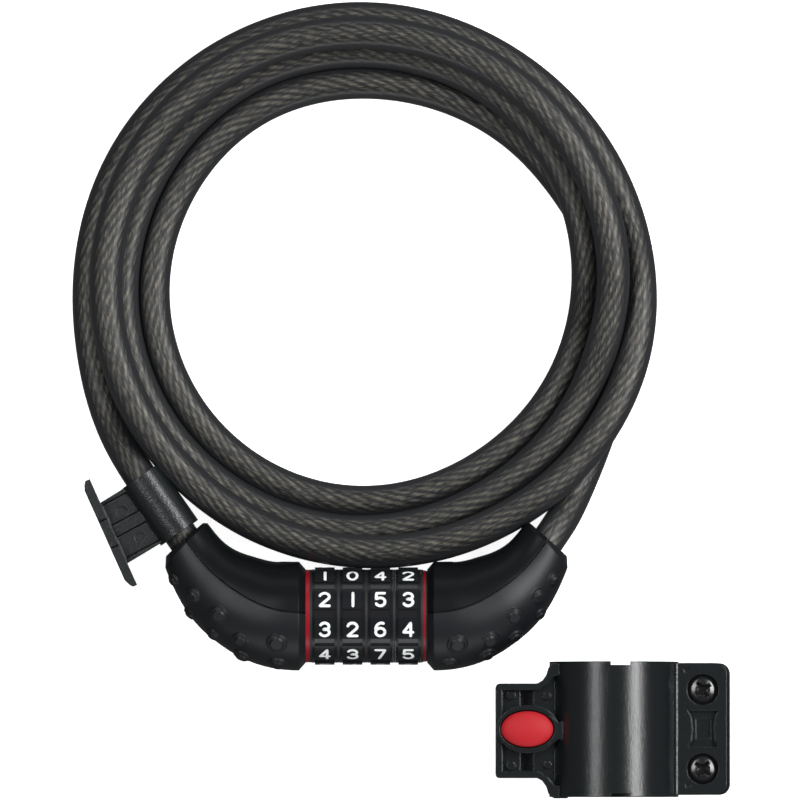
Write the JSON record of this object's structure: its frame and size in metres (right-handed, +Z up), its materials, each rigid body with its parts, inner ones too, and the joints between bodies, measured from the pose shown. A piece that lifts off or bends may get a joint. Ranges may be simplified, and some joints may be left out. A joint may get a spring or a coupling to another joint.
{
  "type": "self-coiling cable lock",
  "caption": "Self-coiling steel cable lock with a thumb-dial head, two curved studded horns, a carrier clip on the cable and a separate tube-clamp bracket with a release button.",
  "frame": {"origin": "centre of the base of the lock head, clip and bracket's box, on the surface everything lies on; the cable itself is left out of that box", "axes": "+X along the dial axis towards the bracket's side, +Y from the head towards the cable coil, +Z up"},
  "size_m": [0.1949, 0.2407, 0.0387],
  "materials": {
    "horn_cover": "satin black moulded plastic",
    "grip": "soft-touch black grip with round studs",
    "cast_core": "die-cast zinc, black, seen only in the seam",
    "trim_red": "deep red gloss",
    "steel": "hardened or spring steel",
    "black_steel": "black oxide spring steel",
    "spacer": "dark acetal",
    "dial_black": "semi-gloss black with white numbers",
    "digit_white": "white filled numbers",
    "code_ring": "brass, hidden",
    "cable_jacket": "smoked translucent vinyl",
    "steel_rope": "laid steel rope seen through the jacket",
    "clip_plastic": "spark-textured charcoal nylon",
    "bracket_plastic": "spark-textured charcoal nylon",
    "liner_rubber": "matte black rubber",
    "screw_black": "black oxide steel",
    "button_red": "semi-gloss red"
  },
  "bodies": {
    "dial_half": {"right_inner_cover": "horn_cover", "right_outer_grip": "grip", "right_core": "cast_core", "right_trim_ring": "trim_red", "core_tube": "black_steel", "detent_leaf": "steel", "retaining_ring": "black_steel", "thrust_washer": "spacer", "dial_spacers": "spacer", "right_cross_pin": "steel", "right_ferrule": "steel", "cable_lead_right": "cable_jacket", "cable_coil": "cable_jacket"},
    "plug_half": {"left_inner_cover": "horn_cover", "left_outer_grip": "grip", "left_core": "cast_core", "left_trim_ring": "trim_red", "plug_pin": "steel", "left_cross_pin": "steel", "left_ferrule": "steel", "cable_lead_left": "cable_jacket"},
    "dial_1": {"number_wheel_1": "dial_black", "code_ring_1": "code_ring"},
    "dial_2": {"number_wheel_2": "dial_black", "code_ring_2": "code_ring"},
    "dial_3": {"number_wheel_3": "dial_black", "code_ring_3": "code_ring"},
    "dial_4": {"number_wheel_4": "dial_black", "code_ring_4": "code_ring"},
    "carrier_clip": {"carrier_clip": "clip_plastic"},
    "bracket": {"bracket_upper": "bracket_plastic", "bracket_lower": "bracket_plastic", "bracket_liner": "liner_rubber", "clamp_screws": "screw_black", "clamp_nuts": "steel", "button_spring": "steel"},
    "release_button": {"release_button": "button_red"}
  },
  "joints": [
    {"name": "plug_pull", "type": "slide", "parent": "dial_half", "child": "plug_half", "axis": [-1, 0, 0], "range_m": [0, 0.036]},
    {"name": "dial_1_turn", "type": "hinge", "parent": "dial_half", "child": "dial_1", "pos_m": [-0.02473, 0.00445, 0.0166], "axis": [1, 0, 0], "continuous": true},
    {"name": "dial_2_turn", "type": "hinge", "parent": "dial_half", "child": "dial_2", "pos_m": [-0.0164, 0.00445, 0.0166], "axis": [1, 0, 0], "continuous": true},
    {"name": "dial_3_turn", "type": "hinge", "parent": "dial_half", "child": "dial_3", "pos_m": [-0.00807, 0.00445, 0.0166], "axis": [1, 0, 0], "continuous": true},
    {"name": "dial_4_turn", "type": "hinge", "parent": "dial_half", "child": "dial_4", "pos_m": [0.00026, 0.00445, 0.0166], "axis": [1, 0, 0], "continuous": true},
    {"name": "clip_turn", "type": "hinge", "parent": "plug_half", "child": "carrier_clip", "pos_m": [-0.07415, 0.03786, 0.0166], "axis": [-0.5721, 0.8202, 0], "range_deg": [0, 90]},
    {"name": "bracket_lift", "type": "slide", "parent": "dial_half", "child": "bracket", "axis": [0, 0, 1], "range_m": [0, 0.06]},
    {"name": "button_press", "type": "slide", "parent": "bracket", "child": "release_button", "axis": [0, 0, -1], "range_m": [0, 0.0022], "stiffness_N_per_m": 400, "springref_m": -0.0015, "deforming": ["button_spring"]}
  ]
}
